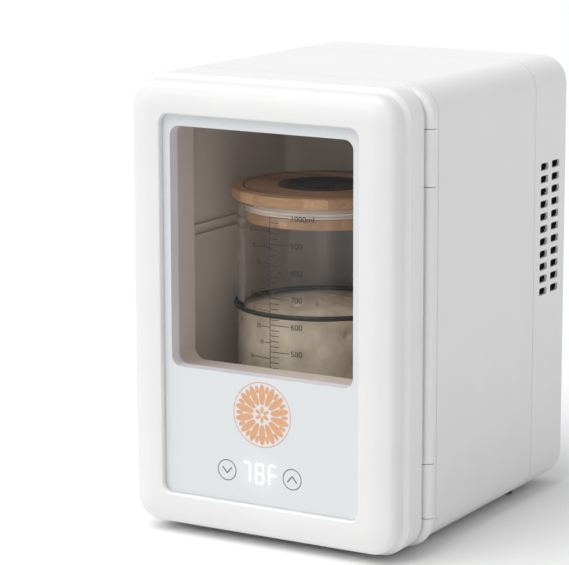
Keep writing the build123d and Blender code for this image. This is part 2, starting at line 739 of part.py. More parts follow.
def marker_band():
    band = jar_post(JAR_RADIUS + 2.0, BAND_BOTTOM, BAND_BOTTOM + BAND_WIDTH)
    band = fillet(band.edges().filter_by(GeomType.CIRCLE), 0.8)
    return band - jar_post(JAR_RADIUS + 0.3, BAND_BOTTOM - 1, BAND_BOTTOM + BAND_WIDTH + 1)


def build():
    """Every piece by its node name."""
    shell = cabinet_shell()
    cover = rear_cover()
    return {
        "door_frame": door_frame(),
        "glass_panel": glass_panel(),
        "mask_print": mask_print(),
        "window_spacer": window_ring(LEDGE_REAR, SPACER_REAR, 0, 3),
        "inner_pane": inner_pane(),
        "door_liner": door_liner(),
        "door_insulation": door_insulation(),
        "door_gasket": door_gasket(),
        "door_magnets": door_magnets(),
        "display_board": display_board(),
        "digit_display": digit_display(),
        "touch_pads": touch_pads(),
        "door_screws": door_screws(),
        "front_collar": front_collar(),
        "cabinet_shell": shell,
        "chamber_liner": chamber_liner(),
        "insulation_foam": insulation_foam(),
        "hinge_pins": hinge_pins(),
        "catch_plates": catch_plates(),
        "cold_plate": cold_plate(),
        "transfer_block": transfer_block(),
        "peltier_module": peltier_module(),
        "heat_sink": heat_sink(),
        "mounting_plate": mounting_plate(),
        "temperature_sensor": temperature_sensor(),
        "fan_frame": fan_frame(),
        "fan_bearing": fan_bearing(),
        "fan_stator": fan_stator(),
        "fan_rotor": fan_rotor(),
        "fan_screws": fan_screws(),
        "rear_cover": cover,
        "rear_cover_screws": rear_cover_screws(),
        "vent_screens": vent_screens(),
        "power_board": power_board(),
        "board_parts": board_parts(),
        "ac_inlet": ac_inlet(),
        "inlet_pins": inlet_pins(),
        "feet": feet((shell, cover)),
        "jar_glass": jar_glass(),
        "starter_dough": starter_dough(),
        "jar_lid": jar_lid(),
        "lid_seal": lid_seal(),
        "lid_insert": lid_insert(),
        "marker_band": marker_band(),
    }


def save(name, piece):
    """Write one node, a single solid or a group of separate solids."""
    solids = [s for item in (piece if isinstance(piece, list) else [piece]) for s in item.solids()]
    shape = solids[0] if len(solids) == 1 else Compound(children=solids)
    export_step(shape, f"parts/{name}.step")


os.makedirs("parts", exist_ok=True)
for node, made in build().items():
    save(node, made)
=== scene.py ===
"""Finishes, glazing, printed panel, jar and starter of a countertop sourdough starter warmer.

Metres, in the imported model's frame: +Z up, the door looks towards -Y, the hinge is on the +X side.
"""

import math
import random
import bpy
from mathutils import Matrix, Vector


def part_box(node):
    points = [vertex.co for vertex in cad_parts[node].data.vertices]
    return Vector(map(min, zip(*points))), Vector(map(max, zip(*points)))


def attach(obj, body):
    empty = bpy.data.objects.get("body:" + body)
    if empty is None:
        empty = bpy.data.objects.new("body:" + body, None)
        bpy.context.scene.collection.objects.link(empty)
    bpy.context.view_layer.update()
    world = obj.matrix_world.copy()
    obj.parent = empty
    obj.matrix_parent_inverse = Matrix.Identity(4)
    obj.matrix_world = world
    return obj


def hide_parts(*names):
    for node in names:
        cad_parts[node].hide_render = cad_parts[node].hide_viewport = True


bl_info = {
    "name": "Starter Warmer Looks",
    "version": (1, 0, 0),
    "blender": (4, 5, 0),
    "location": "View3D > Sidebar > Warmer",
    "description": "Dresses the starter warmer: casing, window, printed controls, jar, lid and starter",
    "category": "Object",
}

import bmesh
import bpy
from mathutils import Matrix, Vector, noise

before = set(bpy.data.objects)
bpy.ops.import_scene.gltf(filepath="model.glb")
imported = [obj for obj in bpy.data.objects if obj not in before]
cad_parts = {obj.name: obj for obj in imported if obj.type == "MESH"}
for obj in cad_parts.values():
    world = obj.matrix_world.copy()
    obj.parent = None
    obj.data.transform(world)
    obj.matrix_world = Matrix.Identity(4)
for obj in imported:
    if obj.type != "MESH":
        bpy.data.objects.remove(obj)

# Places that the frame gives
GLASS_LOW, GLASS_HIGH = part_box("glass_panel")
MASK_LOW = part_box("mask_print")[0]
PANE_LOW, PANE_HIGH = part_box("inner_pane")
JAR_LOW, JAR_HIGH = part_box("jar_glass")
DOUGH_LOW, DOUGH_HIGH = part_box("starter_dough")
LID_LOW, LID_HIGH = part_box("jar_lid")
SEAL_LOW, SEAL_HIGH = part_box("lid_seal")
INSERT_LOW, INSERT_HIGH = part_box("lid_insert")
BAND_LOW, BAND_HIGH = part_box("marker_band")
GASKET_LOW, GASKET_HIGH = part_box("door_gasket")
ROTOR_LOW, ROTOR_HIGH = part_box("fan_rotor")
SCREEN_LOW, SCREEN_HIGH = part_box("vent_screens")
BODY_X = (GLASS_LOW.x + GLASS_HIGH.x) / 2
JAR_X = (JAR_LOW.x + JAR_HIGH.x) / 2
JAR_Y = (JAR_LOW.y + JAR_HIGH.y) / 2
JAR_RADIUS = (JAR_HIGH.x - JAR_LOW.x) / 2

# Sizes of what is modelled here
ROUND_STEPS = 128
CORNER_STEPS = 12
MERGE_DISTANCE = 1e-6
SHARP_ANGLE = math.radians(35)
PRINT_THICKNESS = 0.00004
JAR_WALL = 0.004
JAR_BASE = 0.0022
LINE_WIDTH = 0.00042
KEY_LINE = 0.0005
LETTER_WEIGHT = 0.006


# Shape helpers


def finish_piece(bm, name, material, body, replaced=(), sharp_angle=SHARP_ANGLE):
    """Turn a finished bmesh into a piece that rides on a body of the frame."""
    bmesh.ops.remove_doubles(bm, verts=bm.verts, dist=MERGE_DISTANCE)
    bmesh.ops.recalc_face_normals(bm, faces=bm.faces)
    for face in bm.faces:
        face.smooth = True
    mesh = bpy.data.meshes.new(name)
    bm.to_mesh(mesh)
    bm.free()
    mesh.set_sharp_from_angle(angle=sharp_angle)
    mesh.materials.append(material)
    piece = bpy.data.objects.new(name, mesh)
    bpy.context.scene.collection.objects.link(piece)
    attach(piece, body)
    if replaced:
        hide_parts(*replaced)
    return piece


def dress(material, *nodes):
    """Give frame nodes whose shape stays as it is their finish."""
    for name in nodes:
        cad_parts[name].material_slots[0].material = material


def let_light_through(piece):
    """Keep a pane of clear glass from darkening what stands behind it."""
    piece.visible_shadow = False
    piece.visible_diffuse = False


def lathe(bm, profile, centre, axis="Z", steps=ROUND_STEPS):
    """Spin (radius, height) points round an upright axis, or round one along the depth."""
    if axis == "Z":
        points = [Vector((centre[0] + radius, centre[1], height)) for radius, height in profile]
        direction = (0, 0, 1)
    else:
        points = [Vector((centre[0] + radius, depth, centre[1])) for radius, depth in profile]
        direction = (0, 1, 0)
    pivot = Vector((centre[0], centre[1], 0)) if axis == "Z" else Vector((centre[0], 0, centre[1]))
    verts = [bm.verts.new(point) for point in points]
    edges = [bm.edges.new(pair) for pair in zip(verts, verts[1:])]
    bmesh.ops.spin(
        bm, geom=verts + edges, cent=pivot, axis=direction,
        angle=math.tau, steps=steps, use_merge=True,
    )
    bmesh.ops.remove_doubles(bm, verts=bm.verts, dist=MERGE_DISTANCE)


def rounded_loop(bm, width, height, radius, depth, centre_x, centre_z):
    """Edges of a rounded rectangle that stands across the depth."""
    arcs = []
    for quarter in range(4):
        angle = math.radians(45 + 90 * quarter)
        side = math.copysign(width / 2 - radius, math.cos(angle))
        rise = math.copysign(height / 2 - radius, math.sin(angle))
        pivot = Vector((centre_x + side, depth, centre_z + rise))
        start = angle - math.radians(45)
        first = bm.verts.new(pivot + radius * Vector((math.cos(start), 0, math.sin(start))))
        before = set(bm.verts)
        bmesh.ops.spin(
            bm, geom=[first], cent=pivot, axis=(0, -1, 0), angle=math.radians(90), steps=CORNER_STEPS
        )
        made = [vert for vert in bm.verts if vert not in before]
        arcs.append([first] + made)
    for arc, following in zip(arcs, arcs[1:] + arcs[:1]):
        bm.edges.new((arc[-1], following[0]))
    return list({edge for arc in arcs for vert in arc for edge in vert.link_edges})


def loft(bm, loops, closed=False):
    """Skin a row of edge loops."""
    pairs = list(zip(loops, loops[1:]))
    if closed:
        pairs.append((loops[-1], loops[0]))
    for one, other in pairs:
        bmesh.ops.bridge_loops(bm, edges=one + other)


def flat_ring(bm, centre, outer, inner, depth, steps=64):
    """Flat ring printed on a face that looks forwards."""
    turn = Matrix.Rotation(math.radians(90), 4, "X")
    place = Matrix.Translation((centre[0], depth, centre[1])) @ turn
    edges = []
    for radius in (outer, inner):
        made = bmesh.ops.create_circle(bm, segments=steps, radius=radius, matrix=place)
        edges += list({edge for vert in made["verts"] for edge in vert.link_edges})
    return bmesh.ops.bridge_loops(bm, edges=edges)["faces"]


def flat_bar(bm, start, end, width, depth):
    """Flat stroke between two (side, height) points on a face that looks forwards."""
    a, b = Vector(start), Vector(end)
    along = b - a
    place = (
        Matrix.Translation(((a.x + b.x) / 2, depth, (a.y + b.y) / 2))
        @ Matrix.Rotation(-math.atan2(along.y, along.x), 4, "Y")
        @ Matrix.Rotation(math.radians(90), 4, "X")
        @ Matrix.Diagonal((along.length, width, 1, 1))
    )
    made = bmesh.ops.create_grid(bm, x_segments=1, y_segments=1, size=0.5, matrix=place)
    return list({face for vert in made["verts"] for face in vert.link_faces})


def thicken(bm, thickness, direction):
    """Give flat print a body, on the side that a direction names."""
    made = bmesh.ops.extrude_face_region(bm, geom=list(bm.faces))
    moved = [item for item in made["geom"] if isinstance(item, bmesh.types.BMVert)]
    bmesh.ops.translate(bm, verts=moved, vec=Vector(direction) * thickness)


def words_mesh(words, size):
    """Flat mesh of a short text, its baseline on y = 0."""
    curve = bpy.data.curves.new("words", "FONT")
    curve.body = words
    curve.size = size
    curve.offset = LETTER_WEIGHT * size
    curve.resolution_u = 3
    holder = bpy.data.objects.new("words", curve)
    mesh = bpy.data.meshes.new_from_object(holder)
    bpy.data.objects.remove(holder)
    bpy.data.curves.remove(curve)
    return mesh


# Material helpers


def new_material(name, colour, roughness):
    """Material with a plain shader, and its tree for more."""
    material = bpy.data.materials.new(name)
    material.use_nodes = True
    tree = material.node_tree
    shader = tree.nodes["Principled BSDF"]
    shader.inputs["Base Color"].default_value = (*colour, 1)
    shader.inputs["Roughness"].default_value = roughness
    return material, tree, shader


def object_place(tree, scale=(1, 1, 1), location=(0, 0, 0)):
    """Object coordinates through a mapping, as a socket."""
    coordinates = tree.nodes.new("ShaderNodeTexCoord")
    mapping = tree.nodes.new("ShaderNodeMapping")
    mapping.inputs["Scale"].default_value = scale
    mapping.inputs["Location"].default_value = location
    tree.links.new(coordinates.outputs["Object"], mapping.inputs["Vector"])
    return mapping.outputs["Vector"]


def noise_value(tree, place, scale, detail=3.0, roughness=0.5):
    """Noise pattern, as a socket."""
    texture = tree.nodes.new("ShaderNodeTexNoise")
    texture.inputs["Scale"].default_value = scale
    texture.inputs["Detail"].default_value = detail
    texture.inputs["Roughness"].default_value = roughness
    tree.links.new(place, texture.inputs["Vector"])
    return texture.outputs["Fac"]


def blend_colours(tree, factor, first, second, low=0.3, high=0.7):
    """Colour that goes from one to another as a pattern rises."""
    ramp = tree.nodes.new("ShaderNodeValToRGB")
    ramp.color_ramp.elements[0].position = low
    ramp.color_ramp.elements[0].color = (*first, 1)
    ramp.color_ramp.elements[1].position = high
    ramp.color_ramp.elements[1].color = (*second, 1)
    tree.links.new(factor, ramp.inputs["Fac"])
    return ramp.outputs["Color"]


def remap(tree, value, low, high):
    """Value from 0 to 1 stretched between two limits."""
    node = tree.nodes.new("ShaderNodeMapRange")
    node.inputs["To Min"].default_value = low
    node.inputs["To Max"].default_value = high
    tree.links.new(value, node.inputs["Value"])
    return node.outputs["Result"]


def add_bump(tree, shader, height, strength, distance):
    """Surface relief from a pattern."""
    bump = tree.nodes.new("ShaderNodeBump")
    bump.inputs["Strength"].default_value = strength
    bump.inputs["Distance"].default_value = distance
    tree.links.new(height, bump.inputs["Height"])
    tree.links.new(bump.outputs["Normal"], shader.inputs["Normal"])


def calculate(tree, operation, first, second=None):
    """Result of a calculation on sockets or numbers, as a socket."""
    node = tree.nodes.new("ShaderNodeMath")
    node.operation = operation
    for place, value in enumerate((first, second)):
        if value is None:
            continue
        if isinstance(value, (int, float)):
            node.inputs[place].default_value = value
        else:
            tree.links.new(value, node.inputs[place])
    return node.outputs["Value"]


# Finishes


def tints(colour, darker, lighter):
    """The two ends of a colour's slight unevenness."""
    return tuple(c * darker for c in colour), tuple(min(c * lighter, 1) for c in colour)


def moulded_plastic(name, colour, roughness, grain=0.0004, depth=0.00002):
    """Injection-moulded plastic with a faint texture and slight unevenness in its gloss."""
    material, tree, shader = new_material(name, colour, roughness)
    fine = noise_value(tree, object_place(tree), 1 / grain)
    broad = noise_value(tree, object_place(tree), 28.0, detail=2.0)
    shade = blend_colours(tree, broad, *tints(colour, 0.985, 1.01))
    tree.links.new(shade, shader.inputs["Base Color"])
    tree.links.new(remap(tree, broad, roughness - 0.04, roughness + 0.04), shader.inputs["Roughness"])
    add_bump(tree, shader, fine, 0.25, depth)
    return material


def clear_glass(name, colour, facing_alpha, edge_alpha, roughness=0.02):
    """Glass that lets light through, and shows more of itself where it is seen edge-on."""
    material, tree, shader = new_material(name, colour, roughness)
    weight = tree.nodes.new("ShaderNodeLayerWeight")
    weight.inputs["Blend"].default_value = 0.35
    alpha = remap(tree, weight.outputs["Facing"], facing_alpha, edge_alpha)
    tree.links.new(alpha, shader.inputs["Alpha"])
    shader.inputs["IOR"].default_value = 1.5
    return material


def solid_glass(name, colour, bending):
    """Clear body of glass; bending is its index of refraction."""
    material, tree, shader = new_material(name, colour, 0.0)
    shader.inputs["Transmission Weight"].default_value = 1.0
    shader.inputs["IOR"].default_value = bending
    shader.inputs["Specular IOR Level"].default_value = 0.2
    cloud = noise_value(tree, object_place(tree), 9.0, detail=1.0)
    shade = blend_colours(tree, cloud, *tints(colour, 0.995, 1.005))
    tree.links.new(shade, shader.inputs["Base Color"])
    return material


def metal(name, colour, roughness, stretch=(1, 1, 1)):
    """Metal with fine marks that run along its rolling or milling direction."""
    material, tree, shader = new_material(name, colour, roughness)
    marks = noise_value(tree, object_place(tree, scale=stretch), 700.0, detail=4.0)
    shader.inputs["Metallic"].default_value = 1.0
    tree.links.new(remap(tree, marks, roughness - 0.1, roughness + 0.1), shader.inputs["Roughness"])
    add_bump(tree, shader, marks, 0.2, 0.00002)
    return material


STRIP_WIDTH = 0.0062
BURN_HALF_WIDTH = 0.0005
BURN_DEPTH = 0.0012


def bamboo(colour, dark, burnt, groove_radius):
    """Laminated bamboo: strips of slightly different tone, long fibres and a burnt ring on the lid."""
    material, tree, shader = new_material("bamboo", colour, 0.48)
    place = object_place(tree)
    split = tree.nodes.new("ShaderNodeSeparateXYZ")
    tree.links.new(place, split.inputs["Vector"])
    strip = calculate(tree, "FLOOR", calculate(tree, "MULTIPLY", split.outputs["Y"], 1 / STRIP_WIDTH))
    tone = tree.nodes.new("ShaderNodeTexWhiteNoise")
    tone.noise_dimensions = "1D"
    tree.links.new(strip, tone.inputs["W"])
    fibres = noise_value(tree, object_place(tree, scale=(14, 900, 900)), 1.0, detail=6.0, roughness=0.65)
    mixed = calculate(tree, "ADD", calculate(tree, "MULTIPLY", tone.outputs["Value"], 0.45),
                      calculate(tree, "MULTIPLY", fibres, 0.75))
    wood = blend_colours(tree, mixed, dark, colour, low=0.2, high=0.85)
    centred = object_place(tree, location=(-JAR_X, -JAR_Y, 0))
    flat = tree.nodes.new("ShaderNodeVectorMath")
    flat.operation = "MULTIPLY"
    flat.inputs[1].default_value = (1, 1, 0)
    tree.links.new(centred, flat.inputs[0])
    reach = tree.nodes.new("ShaderNodeVectorMath")
    reach.operation = "LENGTH"
    tree.links.new(flat.outputs["Vector"], reach.inputs[0])
    off = calculate(tree, "ABSOLUTE", calculate(tree, "SUBTRACT", reach.outputs["Value"], groove_radius))
    near = calculate(tree, "LESS_THAN", off, BURN_HALF_WIDTH)
    top = calculate(tree, "GREATER_THAN", split.outputs["Z"], LID_HIGH.z - BURN_DEPTH)
    mix = tree.nodes.new("ShaderNodeMix")
    mix.data_type = "RGBA"
    tree.links.new(calculate(tree, "MULTIPLY", near, top), mix.inputs["Factor"])
    tree.links.new(wood, mix.inputs["A"])
    mix.inputs["B"].default_value = (*burnt, 1)
    tree.links.new(mix.outputs["Result"], shader.inputs["Base Color"])
    add_bump(tree, shader, fibres, 0.3, 0.00006)
    return material


def starter_mass(colour, shadow):
    """Wet dough with a slight mottle and darker specks."""
    material, tree, shader = new_material("starter dough", colour, 0.38)
    mottle = noise_value(tree, object_place(tree), 70.0, detail=5.0, roughness=0.6)
    cells = tree.nodes.new("ShaderNodeTexVoronoi")
    cells.inputs["Scale"].default_value = 190.0
    tree.links.new(object_place(tree, scale=(1, 1, 1.25)), cells.inputs["Vector"])
    pits = calculate(tree, "SMOOTH_MIN", cells.outputs["Distance"], 0.45)
    tree.links.new(
        blend_colours(tree, mottle, shadow, colour, low=0.28, high=0.6), shader.inputs["Base Color"]
    )
    shader.inputs["Subsurface Weight"].default_value = 0.15
    shader.inputs["Subsurface Radius"].default_value = (0.004, 0.003, 0.002)
    shader.inputs["Subsurface Scale"].default_value = 1.0
    add_bump(tree, shader, pits, 0.35, 0.0004)
    return material


def panel_print(colour, glow):
    """Pale print behind the glass, lit from behind round the digits."""
    material, tree, shader = new_material("panel print", colour, 0.5)
    centred = object_place(tree, location=(-DIGITS_X, 0, -DIGITS_Z), scale=(1, 0, 1))
    stretch = tree.nodes.new("ShaderNodeVectorMath")
    stretch.operation = "MULTIPLY"
    stretch.inputs[1].default_value = (1 / GLOW_WIDTH, 0, 1 / GLOW_HEIGHT)
    tree.links.new(centred, stretch.inputs[0])
    reach = tree.nodes.new("ShaderNodeVectorMath")
    reach.operation = "LENGTH"
    tree.links.new(stretch.outputs["Vector"], reach.inputs[0])
    lit = tree.nodes.new("ShaderNodeMapRange")
    lit.interpolation_type = "SMOOTHSTEP"
    lit.inputs["From Min"].default_value = 1.0
    lit.inputs["From Max"].default_value = 0.35
    lit.inputs["To Min"].default_value = 0.0
    lit.inputs["To Max"].default_value = glow
    tree.links.new(reach.outputs["Value"], lit.inputs["Value"])
    shader.inputs["Emission Color"].default_value = (0.88, 0.9, 1.0, 1)
    tree.links.new(lit.outputs["Result"], shader.inputs["Emission Strength"])
    speckle = noise_value(tree, object_place(tree), 2500.0)
    shade = blend_colours(tree, speckle, *tints(colour, 0.99, 1.01))
    tree.links.new(shade, shader.inputs["Base Color"])
    return material


def lit_segments(colour, strength):
    """Glowing display segments."""
    material, tree, shader = new_material("lit segments", colour, 0.4)
    shader.inputs["Emission Color"].default_value = (*colour, 1)
    grain = noise_value(tree, object_place(tree), 900.0)
    level = remap(tree, grain, strength * 0.95, strength * 1.05)
    tree.links.new(level, shader.inputs["Emission Strength"])
    return material


# Settings


class CasingSettings(bpy.types.PropertyGroup):
    """Colours and gloss of the moulded parts"""

    white: bpy.props.FloatVectorProperty(
        name="Casing", description="Colour of the outer casing", subtype="COLOR",
        default=(0.8, 0.8, 0.797), min=0, max=1,
    )
    liner: bpy.props.FloatVectorProperty(
        name="Liner", description="Colour of the chamber's walls", subtype="COLOR",
        default=(0.68, 0.605, 0.555), min=0, max=1,
    )
    roughness: bpy.props.FloatProperty(
        name="Roughness", description="Roughness of the outer casing", default=0.3, min=0, max=1,
        subtype="FACTOR",
    )


class PanelSettings(bpy.types.PropertyGroup):
    """The printed panel behind the door's glass"""

    print_colour: bpy.props.FloatVectorProperty(
        name="Print", description="Colour of the pale print", subtype="COLOR",
        default=(0.72, 0.75, 0.765), min=0, max=1,
    )
    ornament_colour: bpy.props.FloatVectorProperty(
        name="Ornament", description="Colour of the round ornament", subtype="COLOR",
        default=(0.72, 0.38, 0.2), min=0, max=1,
    )
    pane_tint: bpy.props.FloatVectorProperty(
        name="Pane tint", description="Tint of the inner pane", subtype="COLOR",
        default=(0.96, 0.95, 0.945), min=0, max=1,
    )
    line_colour: bpy.props.FloatVectorProperty(
        name="Lines", description="Colour of the thin printed lines", subtype="COLOR",
        default=(0.12, 0.095, 0.085), min=0, max=1,
    )
    ornament_radius: bpy.props.FloatProperty(
        name="Ornament radius", description="Outer radius of the round ornament", unit="LENGTH",
        default=0.019, min=0.001,
    )
    key_radius: bpy.props.FloatProperty(
        name="Key radius", description="Radius of the circle round each arrow", unit="LENGTH",
        default=0.0062, min=0.001,
    )


class JarSettings(bpy.types.PropertyGroup):
    """The jar's print and what is in it"""

    starter_colour: bpy.props.FloatVectorProperty(
        name="Starter", description="Colour of the starter", subtype="COLOR",
        default=(0.74, 0.65, 0.5), min=0, max=1,
    )
    wood_colour: bpy.props.FloatVectorProperty(
        name="Bamboo", description="Colour of the lid", subtype="COLOR",
        default=(0.7, 0.43, 0.235), min=0, max=1,
    )
    full_mark: bpy.props.FloatProperty(
        name="Full mark", description="Height of the 1000 ml mark", unit="LENGTH", default=0.1843,
    )
    mark_pitch: bpy.props.FloatProperty(
        name="Mark pitch", description="Height of 100 ml", unit="LENGTH", default=0.0158,
    )


class StageSettings(bpy.types.PropertyGroup):
    """Camera, lights and floor"""

    azimuth: bpy.props.FloatProperty(
        name="Azimuth", description="Camera's way round the object", unit="ROTATION",
        default=math.radians(30.94),
    )
    elevation: bpy.props.FloatProperty(
        name="Elevation", description="Camera's angle above the horizon", unit="ROTATION",
        default=math.radians(11.24),
    )
    roll: bpy.props.FloatProperty(
        name="Roll", description="Camera's tilt to the side", unit="ROTATION",
        default=math.radians(-0.15),
    )
    distance: bpy.props.FloatProperty(
        name="Distance", description="From the camera to its target", unit="LENGTH", default=1.6386,
    )
    target: bpy.props.FloatVectorProperty(
        name="Target", description="Point in the middle of the picture", subtype="XYZ", unit="LENGTH",
        default=(-0.0175, -0.0538, 0.1439),
    )
    lens: bpy.props.FloatProperty(
        name="Lens", description="Focal length in millimetres", default=179.05, min=1,
    )
    sky_level: bpy.props.FloatProperty(
        name="Sky level", description="Strength of the even light from all round", default=0.49, min=0,
    )
    key_level: bpy.props.FloatProperty(
        name="Key level", description="Strength of the main soft light", default=2.2, min=0,
    )


# Casing, with the foam in its side vents, near black so that it also paints the shade deep in the vents

VENT_DEPTHS = (0.0766, 0.0918)
VENT_ROWS = 11
VENT_TOP = 0.20215
VENT_PITCH = 0.00757
VENT_WIDTH = 0.0103
VENT_HEIGHT = 0.0043
VENT_CORNER = 0.00125
FOAM_PLUG = 0.0014
FOAM_BULGE = 0.0008


def foam_plug(bm, side, depth, height):
    """Near-black foam that bulges into one of the side vents: partly a real dust filter, partly painted
    shade for the vent's depth.
    """
    size = Matrix.Diagonal((FOAM_PLUG, VENT_WIDTH, VENT_HEIGHT, 1))
    place = Matrix.Translation((side, depth, height)) @ size
    made = bmesh.ops.create_cube(bm, size=1, matrix=place)
    edges = dict.fromkeys(edge for vert in made["verts"] for edge in vert.link_edges)
    across = [edge for edge in edges if abs(edge.verts[0].co.x - edge.verts[1].co.x) > FOAM_PLUG / 2]
    bmesh.ops.bevel(bm, geom=across, offset=VENT_CORNER, segments=3, affect="EDGES")


class WARMER_OT_casing(bpy.types.Operator):
    """Finish the outer casing, the hinge and the feet"""

    bl_idname = "warmer.casing"
    bl_label = "Casing"

    def execute(self, context):
        settings = context.scene.warmer_casing
        white = moulded_plastic("casing white", settings.white, settings.roughness)
        dress(white, "door_frame", "front_collar", "cabinet_shell", "rear_cover", "door_liner")
        rubber = moulded_plastic("foot rubber", (0.03, 0.03, 0.03), 0.7, grain=0.0006, depth=0.00005)
        dress(rubber, "feet")
        # Near-black foam with almost no gloss: a real dust filter behind the vents, and painted shade for
        # their dark depth.
        foam = moulded_plastic("filter foam and painted vent shade", (0.004, 0.004, 0.0045), 0.95, grain=0.0008, depth=0.0004)
        foam.node_tree.nodes["Principled BSDF"].inputs["Specular IOR Level"].default_value = 0.05
        dress(foam, "vent_screens")
        bm = bmesh.new()
        for way, limit in ((-1, SCREEN_LOW.x), (1, SCREEN_HIGH.x)):
            side = limit + way * (FOAM_BULGE - FOAM_PLUG / 2)
            for depth in VENT_DEPTHS:
                for row in range(VENT_ROWS):
                    foam_plug(bm, side, depth, VENT_TOP - row * VENT_PITCH)
        finish_piece(bm, "vent_foam_and_shade", foam, "cabinet")
        return {"FINISHED"}


# Chamber and works


class WARMER_OT_works(bpy.types.Operator):
    """Finish the chamber and the works behind it"""

    bl_idname = "warmer.works"
    bl_label = "Chamber and works"

    def execute(self, context):
        settings = context.scene.warmer_casing
        dress(moulded_plastic("liner plastic", settings.liner, 0.4), "chamber_liner")
        dress(moulded_plastic("insulating foam", (0.8, 0.76, 0.62), 0.8, grain=0.001, depth=0.0003),
              "insulation_foam", "door_insulation")
        dress(moulded_plastic("black plastic", (0.03, 0.03, 0.032), 0.42),
              "fan_frame", "ac_inlet", "board_parts", "digit_display", "touch_pads")
        dress(metal("plated steel", (0.62, 0.62, 0.63), 0.32),
              "door_screws", "fan_screws", "rear_cover_screws", "hinge_pins", "catch_plates",
              "door_magnets", "mounting_plate", "temperature_sensor")
        dress(metal("aluminium", (0.75, 0.76, 0.77), 0.38, stretch=(1, 1, 0.05)),
              "heat_sink", "cold_plate", "transfer_block")
        dress(metal("brass", (0.72, 0.58, 0.32), 0.3), "fan_bearing", "inlet_pins")
        dress(metal("copper winding", (0.62, 0.3, 0.16), 0.4, stretch=(1, 20, 1)), "fan_stator")
        dress(moulded_plastic("module ceramic", (0.85, 0.85, 0.82), 0.5), "peltier_module")
        dress(moulded_plastic("circuit board", (0.04, 0.2, 0.1), 0.35), "power_board", "display_board")
        return {"FINISHED"}


GASKET_CORNER = 0.008
GASKET_SECTION = (
    (0.0, 0.0), (0.0, 0.5), (0.0005, 0.85), (0.0013, 1.0), (0.0019, 0.75), (0.0025, 0.45),
    (0.0031, 0.75), (0.0037, 1.0), (0.0045, 0.85), (0.005, 0.5), (0.005, 0.0),
)


class WARMER_OT_gasket(bpy.types.Operator):
    """Lay the two-lipped seal round the back of the door"""

    bl_idname = "warmer.gasket"
    bl_label = "Door seal"

    def execute(self, context):
        width = GASKET_HIGH.x - GASKET_LOW.x
        height = GASKET_HIGH.z - GASKET_LOW.z
        middle = (GASKET_HIGH.z + GASKET_LOW.z) / 2
        base, proud = GASKET_LOW.y, GASKET_HIGH.y - GASKET_LOW.y
        bm = bmesh.new()
        loops = [
            rounded_loop(
                bm, width - 2 * inset, height - 2 * inset, GASKET_CORNER - inset, base + proud * rise,
                BODY_X, middle,
            )
            for inset, rise in GASKET_SECTION
        ]
        loft(bm, loops, closed=True)
        rubber = moulded_plastic("seal rubber", (0.42, 0.43, 0.45), 0.6)
        finish_piece(bm, "seal_lips", rubber, "door", replaced=("door_gasket",))
        return {"FINISHED"}


# Fan

FAN_X = BODY_X
FAN_Z = 0.140
BLADES = 7
BLADE_TIP = 0.0358
HUB_RADIUS = 0.015
SHAFT_RADIUS = 0.0015
BLADE_SWEEP = math.radians(40)
BLADE_LEAN = math.radians(16)
BLADE_DEPTH = 0.0088
BLADE_THICK = 0.0011
BLADE_CAMBER = 0.006
BLADE_ROOT = HUB_RADIUS - 0.001
HUB_DEPTH = 0.014
HUB_WALL = 0.002
HUB_EDGE = 0.0012


def fan_blade(bm, turn, middle):
    """Curved blade from the hub to the tip; turn is its place round the hub."""
    sheet = bmesh.new()
    bmesh.ops.create_grid(sheet, x_segments=8, y_segments=10, size=0.5)
    thicken(sheet, BLADE_THICK, (0, 0, 1))
    for vert in sheet.verts:
        out, across = vert.co.x + 0.5, vert.co.y
        radius = BLADE_ROOT + (BLADE_TIP - BLADE_ROOT) * out
        angle = turn + across * BLADE_SWEEP + out * out * BLADE_LEAN
        camber = (0.25 - across * across) * BLADE_CAMBER
        depth = middle + across * BLADE_DEPTH + camber + vert.co.z
        vert.co = Vector((FAN_X + radius * math.sin(angle), depth, FAN_Z + radius * math.cos(angle)))
    mesh = bpy.data.meshes.new("blade")
    sheet.to_mesh(mesh)
    sheet.free()
    bm.from_mesh(mesh)
    bpy.data.meshes.remove(mesh)


class WARMER_OT_fan(bpy.types.Operator):
    """Turn the fan's hub and set its curved blades"""

    bl_idname = "warmer.fan"
    bl_label = "Fan"

    def execute(self, context):
        rear, shaft_end = ROTOR_HIGH.y, ROTOR_LOW.y
        front, inside = rear - HUB_DEPTH, HUB_RADIUS - HUB_WALL
        bm = bmesh.new()
        lathe(bm, [
            (0, rear), (HUB_RADIUS - HUB_EDGE, rear), (HUB_RADIUS, rear - HUB_EDGE), (HUB_RADIUS, front),
            (inside, front), (inside, rear - HUB_WALL), (SHAFT_RADIUS, rear - HUB_WALL),
            (SHAFT_RADIUS, shaft_end), (0, shaft_end),
        ], (FAN_X, FAN_Z), axis="Y", steps=64)
        for number in range(BLADES):
            fan_blade(bm, math.tau * number / BLADES, (front + rear) / 2)
        black = moulded_plastic("fan black", (0.022, 0.022, 0.024), 0.38)
        finish_piece(bm, "fan_blades", black, "fan", replaced=("fan_rotor",))
        return {"FINISHED"}


# Window and printed panel

PRINT_Y = MASK_LOW.y - 0.00005
PRINT_GAP = 0.0003
GLASS_CORNER = 0.0058
PANE_CORNER = 0.01
TUNNEL_INSET = 0.00205
LINING_THICK = 0.0005
LINING_REAR = -0.0786
EDGE_ROUND = 0.0004
DIGITS_X = BODY_X - 0.0011
DIGITS_Z = 0.0435
GLOW_WIDTH = 0.021
GLOW_HEIGHT = 0.0155


def glass_pane(low, high, corner):
    """Flat pane with rounded corners and a fine bevel on its front edge."""
    width, height, middle = high.x - low.x, high.z - low.z, (high.z + low.z) / 2
    bm = bmesh.new()
    loops = [
        rounded_loop(bm, width - 2 * inset, height - 2 * inset, corner - inset, depth, BODY_X, middle)
        for inset, depth in ((0, high.y), (0, low.y + EDGE_ROUND), (EDGE_ROUND, low.y))
    ]
    loft(bm, loops)
    for loop in (loops[0], loops[-1]):
        bmesh.ops.edgeloop_fill(bm, edges=loop)
    return bm


